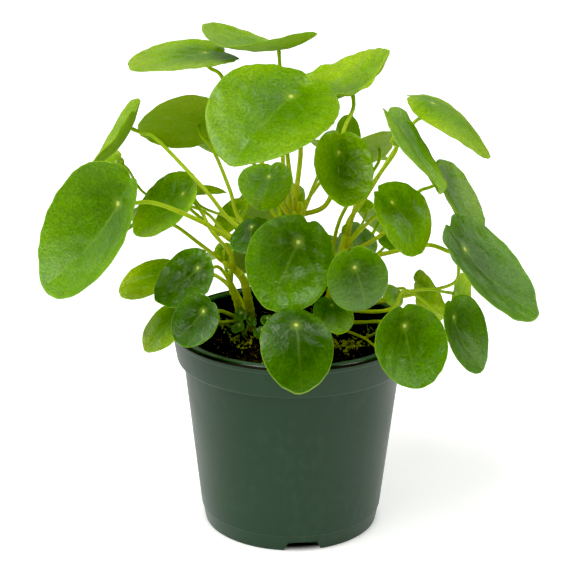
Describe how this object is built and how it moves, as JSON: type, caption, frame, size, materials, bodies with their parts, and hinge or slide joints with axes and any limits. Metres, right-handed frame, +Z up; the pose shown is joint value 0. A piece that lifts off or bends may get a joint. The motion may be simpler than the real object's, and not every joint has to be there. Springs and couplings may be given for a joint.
{
  "type": "potted pilea plant",
  "caption": "House plant with round, coin-shaped leaves on slender stalks, rising from soil in a tapered nursery pot with a collar and foot notches.",
  "frame": {"origin": "middle of the pot's underside, on the surface that the pot stands on", "axes": "+Z up along the pot's axis, -Y towards the side from which the plant is pictured, +X to the right from there"},
  "size_m": [0.3021, 0.2295, 0.3156],
  "materials": {
    "pot_plastic": "moulded polypropylene, dark green, satin",
    "soil": "damp peat, nearly black, with bits of moss",
    "stem": "fleshy yellow-green stalk, browner near the foot",
    "leaf": "fresh green leaf with a waxy sheen"
  },
  "bodies": {
    "root": {"pot": "pot_plastic", "soil": "soil", "stem_main": "stem", "stem_left": "stem", "stem_low_left": "stem", "stem_right": "stem", "leaf_top": "leaf", "leaf_top_left": "leaf", "leaf_top_centre": "leaf", "leaf_top_right": "leaf", "leaf_left_upper": "leaf", "leaf_left_edge_on": "leaf", "leaf_left_large": "leaf", "leaf_left_behind": "leaf", "leaf_left_middle": "leaf", "leaf_left_tiny": "leaf", "leaf_left_small": "leaf", "leaf_inner_left": "leaf", "leaf_inner_dark": "leaf", "leaf_centre_small": "leaf", "leaf_centre_large": "leaf", "leaf_centre_right": "leaf", "leaf_right_upper": "leaf", "leaf_right_middle": "leaf", "leaf_right_large": "leaf", "leaf_right_behind": "leaf", "leaf_far_right": "leaf", "leaf_right_edge_on": "leaf", "leaf_inner_upper": "leaf", "leaf_inner_right": "leaf", "leaf_inner_bud": "leaf", "leaf_inner_low": "leaf", "leaf_inner_low_right": "leaf", "leaf_low_right_thin": "leaf", "leaf_low_right_pointed": "leaf", "leaf_low_right_outer": "leaf", "leaf_low_right_front": "leaf", "leaf_low_right_small": "leaf", "leaf_front_right_small": "leaf", "leaf_front": "leaf", "leaf_low_left": "leaf", "leaf_low_left_behind": "leaf", "leaf_low_left_front": "leaf", "leaf_low_left_outer": "leaf", "leaf_back_high": "leaf", "leaf_back_high_left": "leaf", "leaf_back_high_right": "leaf", "leaf_back_left": "leaf", "leaf_back_middle": "leaf", "leaf_back_right": "leaf", "leaf_back_low_left": "leaf", "leaf_back_low": "leaf", "leaf_back_low_right": "leaf", "leaf_far_left": "leaf", "leaf_far_right_low": "leaf", "leaf_inner_back_left": "leaf", "leaf_inner_back_right": "leaf", "pup_left": "leaf", "pup_front": "leaf"}
  },
  "joints": []
}
